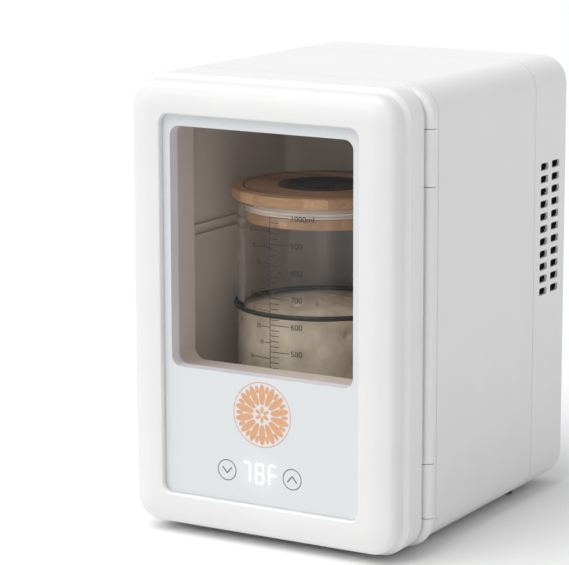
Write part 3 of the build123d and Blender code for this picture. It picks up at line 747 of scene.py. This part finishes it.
class WARMER_OT_window(bpy.types.Operator):
    """Glaze the door, the front pane just clear of the print behind it"""

    bl_idname = "warmer.window"
    bl_label = "Window"

    def execute(self, context):
        settings = context.scene.warmer_panel
        front = glass_pane(GLASS_LOW, GLASS_HIGH - Vector((0, PRINT_GAP, 0)), GLASS_CORNER)
        glass = clear_glass("door glass", (0.3, 0.32, 0.32), 0.008, 0.12)
        let_light_through(
            finish_piece(front, "front_glass", glass, "door", replaced=("glass_panel",))
        )
        rear = glass_pane(PANE_LOW, PANE_HIGH, PANE_CORNER)
        tinted = solid_glass("tinted pane", settings.pane_tint, 1.04)
        let_light_through(
            finish_piece(rear, "rear_glass", tinted, "door", replaced=("inner_pane",))
        )
        sleeve = bmesh.new()
        middle = (PANE_HIGH.z + PANE_LOW.z) / 2
        sections = []
        pane = PANE_HIGH - PANE_LOW
        for inset in (TUNNEL_INSET, TUNNEL_INSET + LINING_THICK):
            width, height = pane.x - 2 * inset, pane.z - 2 * inset
            sections.append([
                rounded_loop(sleeve, width, height, PANE_CORNER - inset, depth, BODY_X, middle)
                for depth in (PANE_HIGH.y + PRINT_GAP, LINING_REAR)
            ])
        (outer_front, outer_rear), (inner_front, inner_rear) = sections
        loft(sleeve, [outer_front, outer_rear, inner_rear, inner_front], closed=True)
        lining = moulded_plastic("window lining", context.scene.warmer_casing.liner, 0.45)
        finish_piece(sleeve, "window_lining", lining, "door")
        dress(panel_print(settings.print_colour, 0.05), "mask_print")
        dress(moulded_plastic("window spacer", (0.84, 0.79, 0.87), 0.45), "window_spacer")
        return {"FINISHED"}


KEYS_Z = 0.0430
DOWN_KEY = -0.0228
UP_KEY = 0.0204
ARROW_REACH = 0.0031
ARROW_RISE = 0.0018
ARROW_STROKE = 0.0007


def key_print(bm, side, direction, radius):
    """Thin circle with an arrow that points up or down."""
    flat_ring(bm, (side, KEYS_Z), radius, radius - KEY_LINE, PRINT_Y)
    tip, foot = KEYS_Z + direction * ARROW_RISE, KEYS_Z - direction * ARROW_RISE
    for way in (-1, 1):
        flat_bar(bm, (side + way * ARROW_REACH, foot), (side, tip), ARROW_STROKE, PRINT_Y)


class WARMER_OT_keys(bpy.types.Operator):
    """Print the two arrow keys"""

    bl_idname = "warmer.keys"
    bl_label = "Keys"

    def execute(self, context):
        settings = context.scene.warmer_panel
        bm = bmesh.new()
        key_print(bm, BODY_X + DOWN_KEY, -1, settings.key_radius)
        key_print(bm, BODY_X + UP_KEY, 1, settings.key_radius)
        thicken(bm, PRINT_THICKNESS, (0, 1, 0))
        ink = moulded_plastic("line ink", settings.line_colour, 0.5)
        finish_piece(bm, "key_print", ink, "door")
        return {"FINISHED"}


ORNAMENT_CENTRE = (BODY_X + 0.0007, 0.0781)
PETALS = 14
HEART_PETALS = 6


def petal(bm, centre, angle, inner, outer, breadth):
    """Oval leaf between two radii, its breadth given as a share of its length."""
    middle = (inner + outer) / 2
    place = (
        Matrix.Translation((centre[0], PRINT_Y, centre[1]))
        @ Matrix.Rotation(angle, 4, "Y")
        @ Matrix.Translation((0, 0, middle))
        @ Matrix.Diagonal((breadth, 1, 1, 1))
        @ Matrix.Rotation(math.radians(90), 4, "X")
    )
    bmesh.ops.create_circle(bm, cap_ends=True, segments=20, radius=(outer - inner) / 2, matrix=place)


class WARMER_OT_ornament(bpy.types.Operator):
    """Print a plain round ornament of petals"""

    bl_idname = "warmer.ornament"
    bl_label = "Ornament"

    def execute(self, context):
        settings = context.scene.warmer_panel
        radius = settings.ornament_radius
        centre = ORNAMENT_CENTRE
        lines = bmesh.new()
        flat_ring(lines, centre, radius, radius - KEY_LINE, PRINT_Y, steps=96)
        thicken(lines, PRINT_THICKNESS, (0, 1, 0))
        ink = moulded_plastic("ornament ink", settings.ornament_colour, 0.5)
        finish_piece(lines, "ornament_line", ink, "door")
        rosette = bmesh.new()
        for number in range(PETALS):
            angle = math.tau * number / PETALS
            petal(rosette, centre, angle, 0.3 * radius, 0.93 * radius, 0.34)
            petal(rosette, centre, angle + math.pi / PETALS, 0.66 * radius, 0.9 * radius, 0.5)
        for number in range(HEART_PETALS):
            angle = math.tau * number / HEART_PETALS
            petal(rosette, centre, angle, 0.05 * radius, 0.26 * radius, 0.5)
        thicken(rosette, PRINT_THICKNESS, (0, 1, 0))
        finish_piece(rosette, "ornament_rosette", ink, "door")
        return {"FINISHED"}


SEGMENT_WIDTH = 0.0047
SEGMENT_HEIGHT = 0.0112
SEGMENT_STROKE = 0.0012
SEGMENT_GAP = 0.0003
GLYPH_PITCH = 0.0087
SEGMENTS_OF = {"7": "abc", "8": "abcdefg", "F": "aefg"}
READING = "78F"


def segment_ends(name):
    """The two ends of a display segment, from the glyph's middle."""
    half, tall = SEGMENT_WIDTH / 2, SEGMENT_HEIGHT / 2
    ends = {
        "a": ((-half, tall), (half, tall)),
        "b": ((half, tall), (half, 0)),
        "c": ((half, 0), (half, -tall)),
        "d": ((-half, -tall), (half, -tall)),
        "e": ((-half, 0), (-half, -tall)),
        "f": ((-half, tall), (-half, 0)),
        "g": ((-half, 0), (half, 0)),
    }
    start, end = (Vector(point) for point in ends[name])
    shift = (end - start).normalized() * SEGMENT_GAP
    return start + shift, end - shift


class WARMER_OT_digits(bpy.types.Operator):
    """Light the temperature reading"""

    bl_idname = "warmer.digits"
    bl_label = "Digits"

    def execute(self, context):
        bm = bmesh.new()
        for number, glyph in enumerate(READING):
            middle = Vector((DIGITS_X + (number - 1) * GLYPH_PITCH, DIGITS_Z))
            for name in SEGMENTS_OF[glyph]:
                start, end = segment_ends(name)
                flat_bar(bm, middle + start, middle + end, SEGMENT_STROKE, PRINT_Y)
        thicken(bm, PRINT_THICKNESS, (0, 1, 0))
        finish_piece(bm, "lit_digits", lit_segments((0.95, 0.97, 1.0), 0.6), "door")
        return {"FINISHED"}


# Jar


class WARMER_OT_jar(bpy.types.Operator):
    """Turn the glass jar"""

    bl_idname = "warmer.jar"
    bl_label = "Jar"

    def execute(self, context):
        outer, inner = JAR_RADIUS, JAR_RADIUS - JAR_WALL
        bottom, top = JAR_LOW.z, JAR_HIGH.z
        floor = bottom + JAR_BASE
        profile = [
            (0, bottom + 0.0006), (outer - 0.009, bottom + 0.0006), (outer - 0.007, bottom),
            (outer - 0.003, bottom), (outer - 0.0009, bottom + 0.0009), (outer, bottom + 0.003),
            (outer, top - 0.001), (outer - 0.001, top), (inner + 0.001, top), (inner, top - 0.001),
            (inner, floor + 0.0001), (inner - 0.0001, floor), (0, floor),
        ]
        bm = bmesh.new()
        lathe(bm, profile, (JAR_X, JAR_Y))
        glass = solid_glass("jar glass", (0.95, 0.94, 0.93), 1.3)
        let_light_through(
            finish_piece(bm, "turned_jar", glass, "cabinet", replaced=("jar_glass",))
        )
        return {"FINISHED"}


SCALE_ANGLE = math.radians(-7)
LONG_TICK = math.radians(14.6)
SHORT_TICK = math.radians(7.0)
LABEL_GAP = 0.0008
LABEL_SIZE = 0.0048
OUNCE_LABEL_SIZE = 0.0038
FULL_LABEL = 1000
TICKS = 41
TICKS_PER_LABEL = 5
TICK_VALUE = 20
SCALE_REACH = 8.2
LITRE_IN_OUNCES = 33.814
OUNCE = 0.0046723
OUNCE_MARKS = range(32, 6, -2)
OUNCE_TICKS = {0: 1.0, 6: 0.8, 4: 0.5, 2: 0.33}


def jar_stroke(bm, start, end, height, width):
    """Printed stroke round the jar between two angles, flat for now: x is the way round."""
    steps = max(1, round(abs(end - start) / math.radians(1.5)))
    place = Matrix.Translation(((start + end) / 2 * JAR_RADIUS, 0, height)) @ Matrix.Rotation(
        math.radians(90), 4, "X"
    ) @ Matrix.Diagonal((abs(end - start) * JAR_RADIUS, width, 1, 1))
    bmesh.ops.create_grid(bm, x_segments=steps, y_segments=1, size=0.5, matrix=place)


def jar_words(bm, words, size, start, height, to_left=False):
    """Printed number beside a tick, flat for now."""
    mesh = words_mesh(words, size)
    reach = max(vert.co.x for vert in mesh.vertices)
    before = set(bm.verts)
    bm.from_mesh(mesh)
    bpy.data.meshes.remove(mesh)
    shift = start * JAR_RADIUS - (reach if to_left else 0)
    for vert in bm.verts:
        if vert not in before:
            vert.co = Vector((vert.co.x + shift, 0, vert.co.y + height - size * 0.35))


class WARMER_OT_jar_scale(bpy.types.Operator):
    """Print the jar's millilitre and ounce marks"""

    bl_idname = "warmer.jar_scale"
    bl_label = "Jar scale"

    def execute(self, context):
        settings = context.scene.warmer_jar
        full, pitch = settings.full_mark, settings.mark_pitch
        bm = bmesh.new()
        lowest = full - SCALE_REACH * pitch
        line = LINE_WIDTH / JAR_RADIUS
        place = (
            Matrix.Translation((SCALE_ANGLE * JAR_RADIUS, 0, (full + lowest) / 2))
            @ Matrix.Rotation(math.radians(90), 4, "X")
            @ Matrix.Diagonal((line * JAR_RADIUS, full - lowest, 1, 1))
        )
        bmesh.ops.create_grid(bm, x_segments=1, y_segments=1, size=0.5, matrix=place)
        for step in range(TICKS):
            height = full - step * pitch / TICKS_PER_LABEL
            is_long = step % TICKS_PER_LABEL == 0
            reach = LONG_TICK if is_long else SHORT_TICK
            jar_stroke(bm, SCALE_ANGLE, SCALE_ANGLE + reach, height, LINE_WIDTH)
            if is_long:
                words = str(FULL_LABEL - step * TICK_VALUE) + ("" if step else "ml")
                start = SCALE_ANGLE + reach + LABEL_GAP / JAR_RADIUS
                jar_words(bm, words, LABEL_SIZE, start, height)
        for ounces in OUNCE_MARKS:
            height = full - (LITRE_IN_OUNCES - ounces) * OUNCE
            reach = LONG_TICK * OUNCE_TICKS[ounces % 8]
            jar_stroke(bm, SCALE_ANGLE - reach, SCALE_ANGLE, height, LINE_WIDTH)
            start = SCALE_ANGLE - reach - LABEL_GAP / JAR_RADIUS
            jar_words(bm, str(ounces), OUNCE_LABEL_SIZE, start, height, to_left=True)
        thicken(bm, PRINT_THICKNESS, (0, -1, 0))
        for vert in bm.verts:
            angle = vert.co.x / JAR_RADIUS
            radius = JAR_RADIUS + 0.00002 - vert.co.y
            vert.co.x = JAR_X + radius * math.sin(angle)
            vert.co.y = JAR_Y - radius * math.cos(angle)
        ink = moulded_plastic("jar ink", (0.02, 0.018, 0.016), 0.5)
        finish_piece(bm, "jar_scale", ink, "cabinet")
        return {"FINISHED"}


class WARMER_OT_band(bpy.types.Operator):
    """Turn the elastic band that marks the level"""

    bl_idname = "warmer.band"
    bl_label = "Marker band"

    def execute(self, context):
        inner = JAR_RADIUS + 0.0003
        outer = (BAND_HIGH.x - BAND_LOW.x) / 2
        middle = (BAND_LOW.z + BAND_HIGH.z) / 2
        half_height = (BAND_HIGH.z - BAND_LOW.z) / 2
        centre = (inner + outer) / 2
        profile = []
        for step in range(17):
            angle = math.tau * step / 16
            profile.append(
                (centre + (outer - inner) / 2 * math.cos(angle), middle + half_height * math.sin(angle))
            )
        bm = bmesh.new()
        lathe(bm, profile, (JAR_X, JAR_Y))
        rubber = moulded_plastic("band rubber", (0.012, 0.01, 0.01), 0.6)
        finish_piece(bm, "elastic_band", rubber, "band", replaced=("marker_band",))
        return {"FINISHED"}


DOUGH_ROWS = 72
DOUGH_RINGS = 26
DOUGH_STEPS = 224
BUBBLE_SEED = 7
BUBBLES = 190
BUBBLE_SIZE = 0.0007
BUBBLE_SPREAD = 0.0016
BUBBLE_SINK = 0.7
AT_GLASS = 0.6
TOP_REACH = 0.93
TOP_GROWTH = 1.5
SWELLS = ((42, 0.0013), (130, 0.0005))
WETTING = 0.00005
DOUGH_RADIUS = JAR_RADIUS - JAR_WALL + WETTING
DOME_RISE = 0.0085
RIM_RISE = 0.0012
SURFACE_DROP = 0.0012


def dome(reach):
    """How far the surface has risen, at a distance from the jar's axis."""
    return DOME_RISE * (1 - min(reach / DOUGH_RADIUS, 1) ** 2)


def bubbles(count, seed):
    """Centres and radii of bubbles against the glass and in the surface."""
    source = random.Random(seed)
    made = []
    for _ in range(count):
        angle = source.uniform(0, math.tau)
        size = BUBBLE_SIZE + BUBBLE_SPREAD * source.random() ** 3
        if source.random() < AT_GLASS:
            height = source.uniform(DOUGH_LOW.z, DOUGH_HIGH.z - 0.004)
            reach = DOUGH_RADIUS
        else:
            reach = DOUGH_RADIUS * TOP_REACH * math.sqrt(source.random())
            size *= TOP_GROWTH
            height = DOUGH_HIGH.z - 0.001 + dome(reach)
        point = Vector((JAR_X + reach * math.cos(angle), JAR_Y + reach * math.sin(angle), height))
        made.append((point, size))
    return made


class WARMER_OT_starter(bpy.types.Operator):
    """Fill the jar with bubbly starter"""

    bl_idname = "warmer.starter"
    bl_label = "Starter"

    def execute(self, context):
        settings = context.scene.warmer_jar
        radius = DOUGH_RADIUS
        bottom, top = JAR_LOW.z + JAR_BASE - WETTING, DOUGH_HIGH.z - SURFACE_DROP
        profile = [(0, bottom), (radius * 0.5, bottom)]
        profile += [(radius, bottom + (top - bottom) * row / DOUGH_ROWS) for row in range(DOUGH_ROWS + 1)]
        profile += [(radius * (1 - ring / DOUGH_RINGS), top) for ring in range(1, DOUGH_RINGS + 1)]
        bm = bmesh.new()
        lathe(bm, profile, (JAR_X, JAR_Y), steps=DOUGH_STEPS)
        axis = Vector((JAR_X, JAR_Y, 0))
        spots = bubbles(BUBBLES, BUBBLE_SEED)
        for vert in bm.verts:
            away = (vert.co - axis).xy.length
            if vert.co.z > top - 0.0001:
                swell = sum(noise.noise(vert.co * pitch) * height for pitch, height in SWELLS)
                rim = RIM_RISE * (away / radius) ** 12
                vert.co.z += swell * min(1.0, (radius - away) / 0.004) + rim + dome(away)
            for point, size in spots:
                gap = (vert.co - point).length
                if gap < size:
                    sink = math.sqrt(size * size - gap * gap) * BUBBLE_SINK
                    if vert.co.z > top - 0.003 and away < radius * 0.98:
                        vert.co.z -= sink
                    else:
                        inward = (axis - vert.co).xy.normalized() * sink
                        vert.co.x += inward.x
                        vert.co.y += inward.y
                    break
        dough = starter_mass(settings.starter_colour, (0.5, 0.42, 0.3))
        finish_piece(bm, "bubbly_starter", dough, "cabinet", replaced=("starter_dough",),
                     sharp_angle=math.radians(70))
        return {"FINISHED"}


# Lid

PLUG_RADIUS = 0.0446
CORE_RADIUS = PLUG_RADIUS - 0.002
FLANGE_Z = 0.190
WELL_DEPTH = 0.0045
SEAL_LIPS = 3
GROOVE_RADIUS = 0.0465
INSERT_RADIUS = 0.026


class WARMER_OT_lid(bpy.types.Operator):
    """Turn the bamboo lid, its seal and its black insert"""

    bl_idname = "warmer.lid"
    bl_label = "Lid"

    def execute(self, context):
        settings = context.scene.warmer_jar
        centre = (JAR_X, JAR_Y)
        outer = (LID_HIGH.x - LID_LOW.x) / 2
        top, bottom = LID_HIGH.z, LID_LOW.z
        well = INSERT_RADIUS + 0.0002
        bm = bmesh.new()
        lathe(bm, [
            (0, bottom), (PLUG_RADIUS - 0.0008, bottom), (PLUG_RADIUS, bottom + 0.0008),
            (PLUG_RADIUS, SEAL_LOW.z), (CORE_RADIUS, SEAL_LOW.z), (CORE_RADIUS, FLANGE_Z),
            (outer - 0.0015, FLANGE_Z), (outer - 0.0004, FLANGE_Z + 0.0005),
            (outer, FLANGE_Z + 0.0017), (outer, top - 0.0019), (outer - 0.0005, top - 0.0006),
            (outer - 0.0018, top), (GROOVE_RADIUS + 0.0004, top), (GROOVE_RADIUS, top - 0.0004),
            (GROOVE_RADIUS - 0.0004, top), (well + 0.0004, top), (well, top - 0.0004),
            (well, top - WELL_DEPTH), (0, top - WELL_DEPTH),
        ], centre)
        wood = bamboo(settings.wood_colour, (0.3, 0.15, 0.08), (0.05, 0.03, 0.02), GROOVE_RADIUS)
        finish_piece(bm, "bamboo_lid", wood, "lid", replaced=("jar_lid",))

        low, high, lip = SEAL_LOW.z, SEAL_HIGH.z, (SEAL_HIGH.x - SEAL_LOW.x) / 2
        pitch = (high - low) / SEAL_LIPS
        start = CORE_RADIUS + 0.0001
        section = [(start, low)]
        for number in range(SEAL_LIPS):
            base = low + number * pitch
            section += [(lip - 0.0013, base + 0.1 * pitch), (lip - 0.0002, base + 0.35 * pitch),
                        (lip, base + 0.6 * pitch), (lip - 0.0013, base + 0.9 * pitch)]
        section += [(start, high), (start, low)]
        ring = bmesh.new()
        lathe(ring, section, centre)
        silicone = moulded_plastic("milky silicone", (0.9, 0.83, 0.76), 0.35)
        finish_piece(ring, "seal_ring", silicone, "lid", replaced=("lid_seal",))

        rim, floor = INSERT_HIGH.z, INSERT_LOW.z
        dish = bmesh.new()
        lathe(dish, [
            (0, floor), (INSERT_RADIUS, floor), (INSERT_RADIUS, rim - 0.0006),
            (INSERT_RADIUS - 0.0006, rim), (INSERT_RADIUS - 0.0022, rim),
            (INSERT_RADIUS - 0.003, rim - 0.0006),
            (INSERT_RADIUS - 0.0045, rim - 0.0022), (INSERT_RADIUS - 0.009, rim - 0.0028),
            (INSERT_RADIUS - 0.0165, rim - 0.003), (0.007, rim - 0.0026), (0.0062, rim - 0.0014),
            (0.0052, rim - 0.001), (0, rim - 0.001),
        ], centre)
        black = moulded_plastic("insert black", (0.03, 0.03, 0.034), 0.38)
        finish_piece(dish, "vent_insert", black, "lid", replaced=("lid_insert",))
        return {"FINISHED"}


# Stage

KEY_SPREAD = math.radians(62)
KEY_TOWARDS = Vector((-0.31, -0.44, 0.843))


class WARMER_OT_stage(bpy.types.Operator):
    """Set the camera, the floor, the lights and the world"""

    bl_idname = "warmer.stage"
    bl_label = "Stage"

    def execute(self, context):
        settings = context.scene.warmer_stage
        place_camera(context.scene, settings)
        lay_floor()
        light_sky(context.scene, settings.sky_level)
        add_key_light(settings.key_level)
        context.scene.view_settings.view_transform = "Standard"
        return {"FINISHED"}


def place_camera(scene, settings):
    """Camera at the photograph's viewing angle."""
    back = Vector((
        math.sin(settings.azimuth) * math.cos(settings.elevation),
        -math.cos(settings.azimuth) * math.cos(settings.elevation),
        math.sin(settings.elevation),
    ))
    data = bpy.data.cameras.new("camera")
    data.sensor_width = 36.0
    data.lens = settings.lens
    data.clip_end = 50.0
    camera = bpy.data.objects.new("camera", data)
    camera.location = Vector(settings.target) + back * settings.distance
    turn = (-back).to_track_quat("-Z", "Y") @ Matrix.Rotation(settings.roll, 3, "Z").to_quaternion()
    camera.rotation_mode = "QUATERNION"
    camera.rotation_quaternion = turn
    scene.collection.objects.link(camera)
    scene.camera = camera


def lay_floor():
    """Plain pale floor."""
    bm = bmesh.new()
    bmesh.ops.create_grid(bm, x_segments=1, y_segments=1, size=20.0)
    mesh = bpy.data.meshes.new("floor")
    bm.to_mesh(mesh)
    bm.free()
    material, _, shader = new_material("floor paper", (0.93, 0.93, 0.93), 0.9)
    shader.inputs["Specular IOR Level"].default_value = 0.1
    mesh.materials.append(material)
    floor = bpy.data.objects.new("floor", mesh)
    bpy.context.scene.collection.objects.link(floor)


def light_sky(scene, level):
    """Even light from all round, white where the camera, gloss and glass see it."""
    world = bpy.data.worlds.new("sky")
    world.use_nodes = True
    tree = world.node_tree
    background = tree.nodes["Background"]
    background.inputs["Color"].default_value = (1, 1, 1, 1)
    path = tree.nodes.new("ShaderNodeLightPath")
    seen = path.outputs["Is Camera Ray"]
    for name in ("Is Glossy Ray", "Is Transmission Ray"):
        seen = calculate(tree, "MAXIMUM", seen, path.outputs[name])
    tree.links.new(remap(tree, seen, level, 1.0), background.inputs["Strength"])
    scene.world = world


def add_key_light(level):
    """Large soft light from the upper left, in front."""
    data = bpy.data.lights.new("key light", "SUN")
    data.energy = level
    data.angle = KEY_SPREAD
    light = bpy.data.objects.new("key light", data)
    light.rotation_mode = "QUATERNION"
    light.rotation_quaternion = KEY_TOWARDS.to_track_quat("Z", "Y")
    bpy.context.scene.collection.objects.link(light)


# Sidebar


class WARMER_PT_looks(bpy.types.Panel):
    """Settings and operators of the warmer's looks"""

    bl_label = "Starter Warmer"
    bl_idname = "WARMER_PT_looks"
    bl_space_type = "VIEW_3D"
    bl_region_type = "UI"
    bl_category = "Warmer"

    def draw(self, context):
        scene = context.scene
        for settings in (scene.warmer_casing, scene.warmer_panel, scene.warmer_jar, scene.warmer_stage):
            box = self.layout.box()
            for name in settings.__annotations__:
                box.prop(settings, name)
        for operator in OPERATORS:
            self.layout.operator(operator.bl_idname)


SETTINGS = (
    ("warmer_casing", CasingSettings),
    ("warmer_panel", PanelSettings),
    ("warmer_jar", JarSettings),
    ("warmer_stage", StageSettings),
)
OPERATORS = (
    WARMER_OT_stage, WARMER_OT_casing, WARMER_OT_works, WARMER_OT_gasket, WARMER_OT_fan, WARMER_OT_window,
    WARMER_OT_keys, WARMER_OT_ornament, WARMER_OT_digits, WARMER_OT_jar, WARMER_OT_jar_scale,
    WARMER_OT_band, WARMER_OT_starter, WARMER_OT_lid,
)


def register():
    for name, group in SETTINGS:
        bpy.utils.register_class(group)
        setattr(bpy.types.Scene, name, bpy.props.PointerProperty(type=group))
    for cls in (*OPERATORS, WARMER_PT_looks):
        bpy.utils.register_class(cls)


def unregister():
    for cls in reversed((*OPERATORS, WARMER_PT_looks)):
        bpy.utils.unregister_class(cls)
    for name, group in reversed(SETTINGS):
        delattr(bpy.types.Scene, name)
        bpy.utils.unregister_class(group)


def main():
    """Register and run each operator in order."""
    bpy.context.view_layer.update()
    register()
    for operator in OPERATORS:
        group, name = operator.bl_idname.split(".")
        getattr(getattr(bpy.ops, group), name)()


if __name__ == "__main__":
    main()
